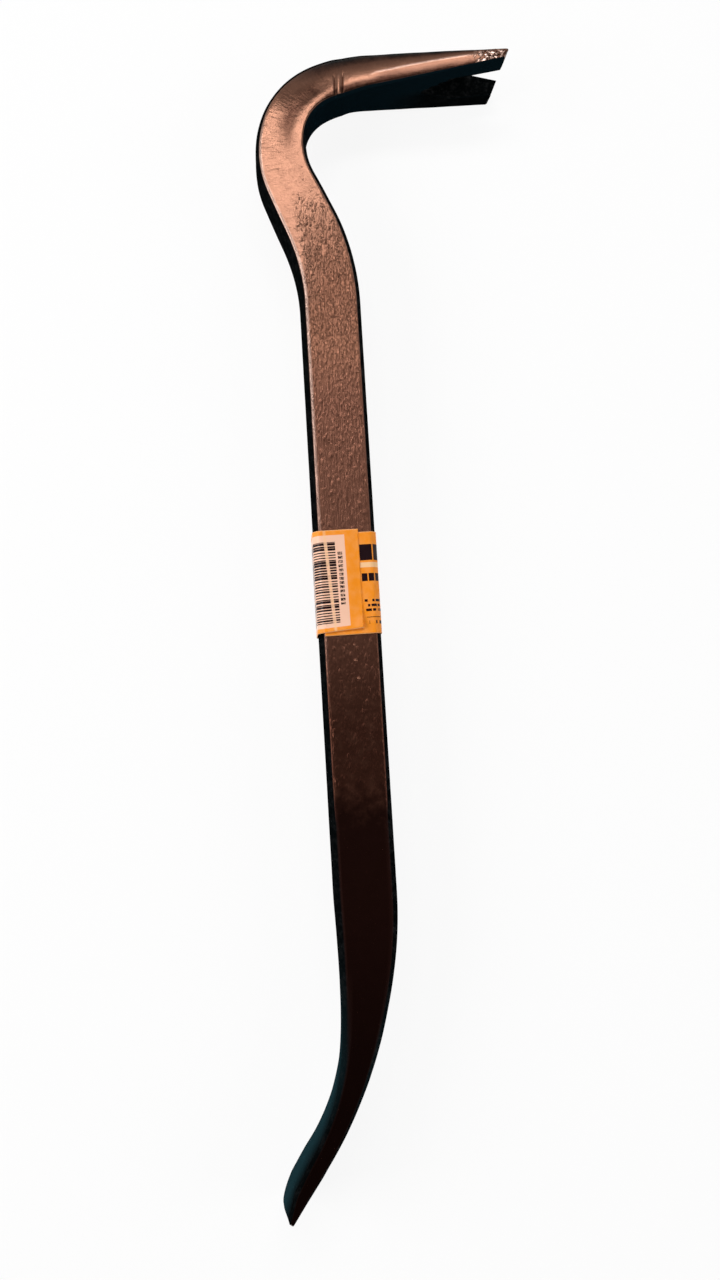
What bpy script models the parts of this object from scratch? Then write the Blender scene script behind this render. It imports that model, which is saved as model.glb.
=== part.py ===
"""Crowbar, nominally 450 mm long: a one-piece forging with a paper label wrapped round its shank.

Metres, +Z up. The bar lies on its side. The shank runs along Y with the claw at the +Y end,
pointing to +X, and the chisel at the -Y end, curling to -X. Its two sides match, but for the
ends, which are cut a little off square. The origin is under the middle of the bar, at the
height of its lowest edge.
"""

import math

import bmesh
import bpy
from mathutils import Matrix, Vector

# Bar stock, which the shank keeps: thickness lies in the plane of the bends, depth along Z
STOCK_THICKNESS = 0.0238
STOCK_DEPTH = 0.0168
STOCK_CHAMFER = 0.0019
SHANK_LENGTH = 0.2365

# Chisel end, from the shank down to the cutting edge
CHISEL_EASE_RADIUS = 0.2500
CHISEL_EASE_TURN = math.radians(11.3)
CHISEL_BEND_RADIUS = 0.1055
CHISEL_BEND_TURN = math.radians(23.6)
BLADE_STRAIGHT = 0.0255
BLADE_WIDTH = 0.0345
BLADE_FLARE_LENGTH = 0.0580
BLADE_EDGE_THICKNESS = 0.0013
BLADE_GRIND_LENGTH = 0.0095
BLADE_HEEL_THICKNESS = 0.0050
BLADE_THICKNESS = 0.0065
BLADE_LENGTH = 0.0200
BLADE_SWELL_LENGTH = 0.1045
BLADE_CORNER_RADIUS = 0.0040
BLADE_SKEW = math.radians(2.6)

# Gooseneck, from the shank up and over to the claw
NECK_BEND_RADIUS = 0.0890
NECK_BEND_TURN = math.radians(22.7)
NECK_STRAIGHT = 0.0175
CROWN_BACK_RADIUS = 0.0360
CROWN_BACK_TURN = math.radians(40.5)
CROWN_TOP_RADIUS = 0.0281
CROWN_TOP_TURN = math.radians(48.8)
CROWN_EASE_RADIUS = 0.0534
CROWN_EASE_TURN = math.radians(21.3)

# Claw
CLAW_STRAIGHT = 0.0561
CLAW_WIDTH = 0.0352
CLAW_FLARE_LENGTH = 0.0645
CLAW_TIP_THICKNESS = 0.0037
CLAW_HEEL_THICKNESS = 0.0170
CLAW_WEDGE_LENGTH = 0.0683
CLAW_SWELL_LENGTH = 0.0823
CLAW_CORNER_RADIUS = 0.0010
CLAW_TOP_DRAW = 0.0010
CLAW_SKEW = math.radians(2.4)

# Forging ridge on each side of the claw: its height at the heel and at the tip, as a share of
# the side, and how far it keeps to the depth of the hollow side
RIDGE_HEEL_SHARE = 0.10
RIDGE_TIP_SHARE = 0.85
RIDGE_FULLNESS = 0.75

# Nail notch in the claw, with its bevels on the hollow side
NOTCH_DEPTH = 0.0180
NOTCH_WIDTH = 0.0105
NOTCH_ROOT_RADIUS = 0.0010
NOTCH_LIP = 0.0009
BEVEL_SLOPE = math.radians(45.0)
BEVEL_RUNOUT = 0.0130

# Label: one strip of paper, wrapped once and lapped over its own start on the +Z face
LABEL_START = 0.1030
LABEL_HEIGHT = 0.0400
LABEL_RISE = 0.0015
LABEL_UNDER_EDGE = 0.0060
LABEL_FLAP_EDGE = 0.0068
PAPER_THICKNESS = 0.0002
PAPER_GAP = 0.0003

# Fineness of the solids, and how far a cutter runs past what it cuts
STATION_STEP = 0.0050
ARC_STEP = math.radians(5.0)
CORNER_STATIONS = 4
ROOT_POINTS = 6
CUT_MARGIN = 0.0050

# Place of the shank among the runs of the centreline
SHANK_RUN = 3


def smoothstep(value):
    value = min(max(value, 0.0), 1.0)
    return value * value * (3.0 - 2.0 * value)


def centreline_runs():
    """Length and signed turn of each run from the cutting edge to the claw tip; right is positive."""
    return (
        (BLADE_STRAIGHT, 0.0),
        (CHISEL_BEND_RADIUS * CHISEL_BEND_TURN, -CHISEL_BEND_TURN),
        (CHISEL_EASE_RADIUS * CHISEL_EASE_TURN, -CHISEL_EASE_TURN),
        (SHANK_LENGTH, 0.0),
        (NECK_BEND_RADIUS * NECK_BEND_TURN, -NECK_BEND_TURN),
        (NECK_STRAIGHT, 0.0),
        (CROWN_BACK_RADIUS * CROWN_BACK_TURN, CROWN_BACK_TURN),
        (CROWN_TOP_RADIUS * CROWN_TOP_TURN, CROWN_TOP_TURN),
        (CROWN_EASE_RADIUS * CROWN_EASE_TURN, CROWN_EASE_TURN),
        (CLAW_STRAIGHT, 0.0),
    )


def point_along(distance):
    """Point and heading on the centreline; heading 0 is +Y and grows towards +X."""
    heading = CHISEL_BEND_TURN + CHISEL_EASE_TURN
    point = Vector((0.0, 0.0))
    left = distance
    for length, turn in centreline_runs():
        step = min(left, length)
        swing = turn * step / length
        chord = step if turn == 0.0 else 2.0 * step / abs(swing or 1.0) * math.sin(abs(swing) / 2.0)
        middle = heading + swing / 2.0
        point = point + chord * Vector((math.sin(middle), math.cos(middle)))
        heading += swing
        left -= step
        if left <= 0.0:
            break
    return point, heading


def bar_length():
    return sum(length for length, _ in centreline_runs())


def shank_start():
    return sum(length for length, _ in centreline_runs()[:SHANK_RUN])


def thickness_at(distance):
    if distance < BLADE_GRIND_LENGTH:
        share = distance / BLADE_GRIND_LENGTH
        chisel = BLADE_EDGE_THICKNESS + (BLADE_HEEL_THICKNESS - BLADE_EDGE_THICKNESS) * share
    elif distance < BLADE_LENGTH:
        share = (distance - BLADE_GRIND_LENGTH) / (BLADE_LENGTH - BLADE_GRIND_LENGTH)
        chisel = BLADE_HEEL_THICKNESS + (BLADE_THICKNESS - BLADE_HEEL_THICKNESS) * share
    else:
        share = smoothstep((distance - BLADE_LENGTH) / BLADE_SWELL_LENGTH)
        chisel = BLADE_THICKNESS + (STOCK_THICKNESS - BLADE_THICKNESS) * share
    back = bar_length() - distance
    if back < CLAW_WEDGE_LENGTH:
        claw = CLAW_TIP_THICKNESS + (CLAW_HEEL_THICKNESS - CLAW_TIP_THICKNESS) * back / CLAW_WEDGE_LENGTH
    else:
        share = smoothstep((back - CLAW_WEDGE_LENGTH) / CLAW_SWELL_LENGTH)
        claw = CLAW_HEEL_THICKNESS + (STOCK_THICKNESS - CLAW_HEEL_THICKNESS) * share
    return min(chisel, claw)


def corner_inset(distance, radius):
    """How far a rounded corner draws an outline in, at a distance from its end."""
    if distance >= radius:
        return 0.0
    return radius - math.sqrt(max(radius ** 2 - (radius - distance) ** 2, 0.0))


def half_depths(distance):
    """Half depth at the hollow side of the bends and at the claw's top, and the claw's share of flare."""
    stock = STOCK_DEPTH / 2.0
    back = bar_length() - distance
    blade = max(0.0, 1.0 - distance / BLADE_FLARE_LENGTH)
    claw = max(0.0, 1.0 - back / CLAW_FLARE_LENGTH)
    blade_half = stock + (BLADE_WIDTH / 2.0 - stock) * blade - corner_inset(distance, BLADE_CORNER_RADIUS)
    claw_half = stock + (CLAW_WIDTH / 2.0 - stock) * claw - corner_inset(back, CLAW_CORNER_RADIUS)
    if claw > 0.0:
        return claw_half, claw_half - CLAW_TOP_DRAW * math.sin(math.pi * claw), claw
    return blade_half, blade_half, 0.0


def skew_at(distance):
    """How far a point leads along the bar for each unit of its depth: neither end is cut quite square."""
    back = bar_length() - distance
    blade = max(0.0, 1.0 - distance / BLADE_FLARE_LENGTH)
    claw = max(0.0, 1.0 - back / CLAW_FLARE_LENGTH)
    return blade * math.tan(BLADE_SKEW) + claw * math.tan(CLAW_SKEW)


def section_at(distance):
    """The bar's outline across its centreline: eight corners and a ridge point on each side."""
    point, heading = point_along(distance)
    across = Vector((math.cos(heading), -math.sin(heading), 0.0))
    along = Vector((math.sin(heading), math.cos(heading), 0.0))
    centre = Vector((point.x, point.y, 0.0))
    deep = along * skew_at(distance) + Vector((0.0, 0.0, 1.0))
    half = thickness_at(distance) / 2.0
    chamfer = STOCK_CHAMFER * 2.0 * half / STOCK_THICKNESS
    hollow, top, flare = half_depths(distance)
    ridge_share = RIDGE_HEEL_SHARE + (RIDGE_TIP_SHARE - RIDGE_HEEL_SHARE) * flare
    ridge_depth = hollow - (1.0 - RIDGE_FULLNESS) * ridge_share * (hollow - top)
    low, high = half - chamfer, chamfer - half
    side = (
        (half, hollow - chamfer),
        (low, hollow),
        (low + (high - low) * ridge_share, ridge_depth),
        (high, top),
        (-half, top - chamfer),
    )
    ring = [centre + across * offset + deep * depth for offset, depth in side]
    ring += [centre + across * offset - deep * depth for offset, depth in reversed(side)]
    return ring


def station_distances():
    """Distances of the sections: one step along the shank, small steps everywhere else."""
    total = bar_length()
    marks = [BLADE_GRIND_LENGTH, BLADE_LENGTH, BLADE_FLARE_LENGTH, BLADE_LENGTH + BLADE_SWELL_LENGTH]
    marks += [total - CLAW_FLARE_LENGTH, total - CLAW_WEDGE_LENGTH]
    marks.append(total - CLAW_WEDGE_LENGTH - CLAW_SWELL_LENGTH)
    for index in range(1, CORNER_STATIONS + 1):
        share = 1.0 - math.cos(index / CORNER_STATIONS * math.pi / 2.0)
        marks.append(share * BLADE_CORNER_RADIUS)
        marks.append(total - share * CLAW_CORNER_RADIUS)
    start = 0.0
    for run, (length, turn) in enumerate(centreline_runs()):
        steps = max(math.ceil(length / STATION_STEP), math.ceil(abs(turn) / ARC_STEP))
        if run == SHANK_RUN:
            steps = 1
        marks += [start + length * index / steps for index in range(steps)]
        start += length
    spaced = [0.0]
    for mark in sorted(marks):
        if spaced[-1] + STATION_STEP / 20.0 < mark < total - STATION_STEP / 100.0:
            spaced.append(mark)
    return spaced + [total]


def loft(name, rings):
    """A closed body through rings of matching points, with flat ends."""
    mesh = bpy.data.meshes.new(name)
    body = bmesh.new()
    rows = [[body.verts.new(point) for point in ring] for ring in rings]
    for row, following in zip(rows, rows[1:]):
        for index in range(len(row)):
            after = (index + 1) % len(row)
            body.faces.new((row[index], row[after], following[after], following[index]))
    body.faces.new(reversed(rows[0]))
    body.faces.new(rows[-1])
    bmesh.ops.recalc_face_normals(body, faces=body.faces)
    body.to_mesh(mesh)
    body.free()
    return bpy.data.objects.new(name, mesh)


def prism(name, outline, half_height):
    """A flat outline in X and Y, drawn out both ways along Z."""
    curve = bpy.data.curves.new(name + "_outline", "CURVE")
    curve.dimensions = "2D"
    curve.fill_mode = "BOTH"
    curve.extrude = half_height
    spline = curve.splines.new("POLY")
    spline.points.add(len(outline) - 1)
    for corner, (x, y) in zip(spline.points, outline):
        corner.co = (x, y, 0.0, 1.0)
    spline.use_cyclic_u = True
    holder = bpy.data.objects.new(name + "_outline", curve)
    bpy.context.scene.collection.objects.link(holder)
    shape = holder.evaluated_get(bpy.context.evaluated_depsgraph_get())
    mesh = bpy.data.meshes.new_from_object(shape)
    bpy.data.objects.remove(holder)
    body = bmesh.new()
    body.from_mesh(mesh)
    bmesh.ops.remove_doubles(body, verts=body.verts, dist=1e-6)
    bmesh.ops.recalc_face_normals(body, faces=body.faces)
    body.to_mesh(mesh)
    body.free()
    return bpy.data.objects.new(name, mesh)


def material(name, colour, roughness, metallic):
    made = bpy.data.materials.new(name)
    made.use_nodes = True
    shader = made.node_tree.nodes["Principled BSDF"]
    shader.inputs["Base Color"].default_value = (*colour, 1.0)
    shader.inputs["Roughness"].default_value = roughness
    shader.inputs["Metallic"].default_value = metallic
    return made


def notch_cutter():
    """The through notch: a V with a rounded root, its point towards the gooseneck."""
    half_angle = math.atan2(NOTCH_WIDTH / 2.0, NOTCH_DEPTH)
    root = min(NOTCH_ROOT_RADIUS, NOTCH_WIDTH / 4.0)
    centre = -NOTCH_DEPTH + root
    outline = []
    for index in range(ROOT_POINTS + 1):
        angle = math.pi / 2.0 + half_angle + index / ROOT_POINTS * (math.pi - 2.0 * half_angle)
        outline.append((centre + root * math.cos(angle), root * math.sin(angle)))
    mouth = NOTCH_WIDTH / 2.0 + CUT_MARGIN * math.tan(half_angle)
    outline += [(CUT_MARGIN, -mouth), (CUT_MARGIN, mouth)]
    return prism("notch_cutter", outline, STOCK_THICKNESS)


def bevel_cutter():
    """The notch's bevels: a roof-shaped body that rises from the hollow side to the notch's lip."""
    slope = math.tan(BEVEL_SLOPE)
    rings = []
    for back in (-CUT_MARGIN, NOTCH_DEPTH, NOTCH_DEPTH + BEVEL_RUNOUT):
        half = thickness_at(bar_length() - max(back, 0.0)) / 2.0
        notch_half = NOTCH_WIDTH / 2.0 * max(0.0, 1.0 - back / NOTCH_DEPTH)
        crest = notch_half * slope + 2.0 * half - NOTCH_LIP if back <= NOTCH_DEPTH else NOTCH_LIP / 2.0
        base = half + CUT_MARGIN
        spread = (crest + CUT_MARGIN) / slope
        rings.append([(-back, -spread, base), (-back, spread, base), (-back, 0.0, half - crest)])
    return loft("bevel_cutter", [[Vector(point) for point in ring] for ring in rings])


def claw_matrix():
    """Places a cutter: its X runs out of the claw tip and its Z out of the claw's hollow side."""
    point, heading = point_along(bar_length())
    out = Vector((math.sin(heading), math.cos(heading), 0.0))
    hollow = Vector((math.cos(heading), -math.sin(heading), 0.0))
    side = hollow.cross(out)
    turn = Matrix((out, side, hollow)).transposed().to_4x4()
    return Matrix.Translation((point.x, point.y, 0.0)) @ turn


def build_bar(parts, cutters, frame):
    bar = loft("forged_bar", [section_at(distance) for distance in station_distances()])
    bar.data.materials.append(material("lacquered_steel", (0.13, 0.065, 0.045), 0.38, 0.6))
    parts.objects.link(bar)
    bar.parent = frame
    for cutter in (notch_cutter(), bevel_cutter()):
        cutters.objects.link(cutter)
        cutter.parent = frame
        cutter.matrix_local = claw_matrix()
        cutter.hide_render = True
        cutter.display_type = "WIRE"
        cut = bar.modifiers.new(cutter.name, "BOOLEAN")
        cut.operation = "DIFFERENCE"
        cut.object = cutter
    return bar


def label_path():
    """The strip's inside line round the shank, each point with its share of the strip's length."""
    across, depth = STOCK_THICKNESS / 2.0, STOCK_DEPTH / 2.0
    start = -across + LABEL_UNDER_EDGE
    end = across - LABEL_FLAP_EDGE
    corners = []
    for x_side, z_side in ((1, 1), (1, -1), (-1, -1), (-1, 1)):
        flat = Vector((x_side * (across - STOCK_CHAMFER), z_side * depth))
        wall = Vector((x_side * across, z_side * (depth - STOCK_CHAMFER)))
        pair = ((flat, Vector((0, z_side))), (wall, Vector((x_side, 0))))
        slant = Vector((x_side, z_side)).normalized()
        for corner, normal in pair if x_side == z_side else reversed(pair):
            corners.append((corner, (normal + slant) / (1.0 + normal.dot(slant))))
    top = Vector((0, 1))
    corners = [(Vector((start, depth)), top)] + corners + [(Vector((end, depth)), top)]
    lap = end - start
    runs = [(corner - before).length for (before, _), (corner, _) in zip(corners, corners[1:])]
    turn = sum(runs) - lap
    path = []
    travelled = 0.0
    for (corner, outward), step in zip(corners, runs + [0.0]):
        offset = PAPER_GAP + (PAPER_THICKNESS + PAPER_GAP) * travelled / turn
        path.append((corner + outward * offset, travelled / (turn + lap)))
        travelled += step
    return path


def build_label(parts, frame, shank_foot):
    mesh = bpy.data.meshes.new("label_wrap")
    body = bmesh.new()
    edges = []
    for point, share in label_path():
        low = shank_foot.y + LABEL_START + LABEL_RISE * share
        levels = (low, low + LABEL_HEIGHT)
        edges.append([body.verts.new((shank_foot.x + point.x, level, point.y)) for level in levels])
    for before, after in zip(edges, edges[1:]):
        body.faces.new((before[0], after[0], after[1], before[1]))
    body.to_mesh(mesh)
    body.free()
    label = bpy.data.objects.new("label_wrap", mesh)
    label.data.materials.append(material("label_paper", (0.91, 0.30, 0.016), 0.55, 0.0))
    parts.objects.link(label)
    label.parent = frame
    skin = label.modifiers.new("paper", "SOLIDIFY")
    skin.thickness = PAPER_THICKNESS
    skin.offset = 1.0
    skin.use_even_offset = True
    return label


def main():
    for item in list(bpy.data.objects):
        bpy.data.objects.remove(item)
    parts = bpy.data.collections.new("crowbar")
    cutters = bpy.data.collections.new("cutters")
    for group in (parts, cutters):
        bpy.context.scene.collection.children.link(group)
    frame = bpy.data.objects.new("crowbar_frame", None)
    parts.objects.link(frame)
    bar = build_bar(parts, cutters, frame)
    build_label(parts, frame, point_along(shank_start())[0])
    lows = [min(vertex.co[axis] for vertex in bar.data.vertices) for axis in range(3)]
    highs = [max(vertex.co[axis] for vertex in bar.data.vertices) for axis in range(3)]
    frame.location = (-(lows[0] + highs[0]) / 2.0, -(lows[1] + highs[1]) / 2.0, -lows[2])


main()
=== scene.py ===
import math

import bmesh
import bpy
from mathutils import Matrix, Vector


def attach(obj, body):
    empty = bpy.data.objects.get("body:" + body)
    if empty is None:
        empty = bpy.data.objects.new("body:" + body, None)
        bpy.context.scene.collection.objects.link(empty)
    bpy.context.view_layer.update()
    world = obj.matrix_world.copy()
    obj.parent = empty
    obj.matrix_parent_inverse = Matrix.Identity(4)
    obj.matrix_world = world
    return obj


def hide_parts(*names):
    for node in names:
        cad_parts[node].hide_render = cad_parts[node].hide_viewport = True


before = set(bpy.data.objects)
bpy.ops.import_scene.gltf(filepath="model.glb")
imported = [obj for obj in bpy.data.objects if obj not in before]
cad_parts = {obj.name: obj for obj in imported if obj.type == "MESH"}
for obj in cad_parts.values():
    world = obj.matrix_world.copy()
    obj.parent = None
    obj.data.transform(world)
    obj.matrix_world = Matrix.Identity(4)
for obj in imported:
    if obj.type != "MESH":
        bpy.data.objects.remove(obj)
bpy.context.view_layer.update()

scene = bpy.context.scene
print("crowbar: frame loaded")


def addObject(name, data):
    made = bpy.data.objects.new(name, data)
    scene.collection.objects.link(made)
    return made


# camera

cameraPlan = {
    "place": (-0.05584, -0.06172, 0.48149),  # metres
    "turn": (6.215, -4.571, -3.449),  # degrees about X, Y and Z
    "lens": 33.476,  # mm
    "frameHeight": 36.0,  # mm
    "nearLimit": 0.01,  # metres
}

lensData = bpy.data.cameras.new("photoCamera")
lensData.sensor_fit = "VERTICAL"
lensData.sensor_height = cameraPlan["frameHeight"]
lensData.lens = cameraPlan["lens"]
lensData.clip_start = cameraPlan["nearLimit"]
photoCamera = addObject("photoCamera", lensData)
photoCamera.location = cameraPlan["place"]
photoCamera.rotation_euler = [math.radians(angle) for angle in cameraPlan["turn"]]
scene.camera = photoCamera
scene.view_settings.view_transform = "Standard"


# node helpers

class Result:
    # a node's output that can stand in a formula: each operation adds a node to its tree
    def __init__(self, tree, socket):
        self.tree = tree
        self.socket = socket

    def op(self, operation, *others):
        return calc(self.tree, operation, self, *others)

    def __add__(self, other):
        return self.op("ADD", other)

    def __sub__(self, other):
        return self.op("SUBTRACT", other)

    def __rsub__(self, other):
        return calc(self.tree, "SUBTRACT", other, self)

    def __mul__(self, other):
        return self.op("MULTIPLY", other)

    def __truediv__(self, other):
        return self.op("DIVIDE", other)

    __radd__ = __add__
    __rmul__ = __mul__

    def span(self, low, high, start=0.0, end=1.0, kind="LINEAR"):
        # goes from start to end while this one goes from low to high, and is level beyond
        feeds = {0: self, 1: low, 2: high, 3: start, 4: end}
        return get(self.tree, "ShaderNodeMapRange", feeds, interpolation_type=kind)

    def ease(self, low, high, start=0.0, end=1.0):
        return self.span(low, high, start, end, "SMOOTHSTEP")


def feed(socket, value):
    if isinstance(value, Result):
        value.tree.links.new(value.socket, socket)
    else:
        socket.default_value = value


def put(tree, kind, feeds=None, **settings):
    made = tree.nodes.new(kind)
    made.location = (len(tree.nodes) % 12 * 200, -(len(tree.nodes) // 12) * 300)
    for name, value in settings.items():
        setattr(made, name, value)
    for key, value in (feeds or {}).items():
        if isinstance(key, str):
            socket = next(s for s in made.inputs if s.enabled and s.name == key)
        else:
            socket = made.inputs[key]
        feed(socket, value)
    return made


def get(tree, kind, feeds=None, output=0, **settings):
    return Result(tree, put(tree, kind, feeds, **settings).outputs[output])


def calc(tree, operation, *values):
    return get(tree, "ShaderNodeMath", dict(enumerate(values)), operation=operation)


def vectorCalc(operation, *values):
    tree = values[0].tree
    made = put(tree, "ShaderNodeVectorMath", operation=operation)
    for socket, value in zip([s for s in made.inputs if s.enabled], values):
        feed(socket, value)
    return Result(tree, next(s for s in made.outputs if s.enabled))


def split(vector):
    made = put(vector.tree, "ShaderNodeSeparateXYZ", {0: vector})
    return [Result(vector.tree, socket) for socket in made.outputs]


def join(tree, x=0.0, y=0.0, z=0.0):
    return get(tree, "ShaderNodeCombineXYZ", {0: x, 1: y, 2: z})


def blendColour(share, first, second):
    return get(share.tree, "ShaderNodeMix", {0: share, 6: first, 7: second}, 2, data_type="RGBA")


def blendValue(share, first, second):
    return get(share.tree, "ShaderNodeMix", {0: share, 2: first, 3: second})


def noiseAt(spot, scale, detail, roughness=0.5, output=0):
    feeds = {"Vector": spot, "Scale": scale, "Detail": detail, "Roughness": roughness}
    return get(spot.tree, "ShaderNodeTexNoise", feeds, output)


def startMaterial(name):
    material = bpy.data.materials.new(name)
    material.use_nodes = True
    return material, material.node_tree, material.node_tree.nodes["Principled BSDF"]


def addBump(shader, height):
    # the height is in mm
    feeds = {"Strength": 1.0, "Distance": 0.001, "Height": height}
    feed(shader.inputs["Normal"], get(height.tree, "ShaderNodeBump", feeds))


def startTree(name, plan):
    # each of the plan's entries with capitals is an input of the tree
    tree = bpy.data.node_groups.new(name, "GeometryNodeTree")
    tree.interface.new_socket("Geometry", in_out="INPUT", socket_type="NodeSocketGeometry")
    for label in filter(str.istitle, plan):
        kind = "NodeSocketInt" if isinstance(plan[label], int) else "NodeSocketFloat"
        made = tree.interface.new_socket(label, in_out="INPUT", socket_type=kind)
        made.default_value = plan[label]
    tree.interface.new_socket("Geometry", in_out="OUTPUT", socket_type="NodeSocketGeometry")
    source = tree.nodes.new("NodeGroupInput")
    return tree, {socket.name: Result(tree, socket) for socket in source.outputs}


def capture(geometry, fields):
    # gives the geometry and each field back under its name
    made = put(geometry.tree, "GeometryNodeCaptureAttribute")
    for name, value in fields.items():
        made.capture_items.new("VECTOR" if value.socket.type == "VECTOR" else "FLOAT", name)
        feed(made.inputs[name], value)
    feed(made.inputs["Geometry"], geometry)
    return {socket.name: Result(geometry.tree, socket) for socket in made.outputs}


def store(geometry, name, value, kind="FLOAT", domain="POINT"):
    feeds = {"Geometry": geometry, "Name": name, "Value": value}
    kinds = {"data_type": kind, "domain": domain}
    return get(geometry.tree, "GeometryNodeStoreNamedAttribute", feeds, **kinds)


def moved(geometry, spot):
    return get(geometry.tree, "GeometryNodeSetPosition", {"Geometry": geometry, "Position": spot})


def fillet(curve, points, radius):
    feeds = {"Curve": curve, 1: points, "Radius": radius}
    return get(curve.tree, "GeometryNodeFilletCurve", feeds, mode="POLY")


def endTree(geometry, material):
    tree = geometry.tree
    real = get(tree, "GeometryNodeRealizeInstances", {"Geometry": geometry})
    smooth = get(tree, "GeometryNodeSetShadeSmooth", {"Geometry": real})
    painted = get(tree, "GeometryNodeSetMaterial", {"Geometry": smooth, "Material": material})
    put(tree, "NodeGroupOutput", {"Geometry": painted})


def plainMesh(holder):
    # the object's mesh with every modifier's work in it, and no modifier left
    bpy.context.view_layer.update()
    seen = holder.evaluated_get(bpy.context.evaluated_depsgraph_get())
    mesh = bpy.data.meshes.new_from_object(seen)
    holder.modifiers.clear()
    old = holder.data
    holder.data = mesh
    mesh.name = holder.name
    bpy.data.meshes.remove(old)


def growFrom(holder, tree, plan):
    modifier = holder.modifiers.new(tree.name, "NODES")
    modifier.node_group = tree
    for item in tree.interface.items_tree:
        if item.item_type == "SOCKET" and item.in_out == "INPUT" and item.name in plan:
            modifier[item.identifier] = plan[item.name]


def lineObject(name, points):
    mesh = bpy.data.meshes.new(name)
    mesh.from_pydata(points, [(i, i + 1) for i in range(len(points) - 1)], [])
    return addObject(name, mesh)


# paint on the forging

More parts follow.
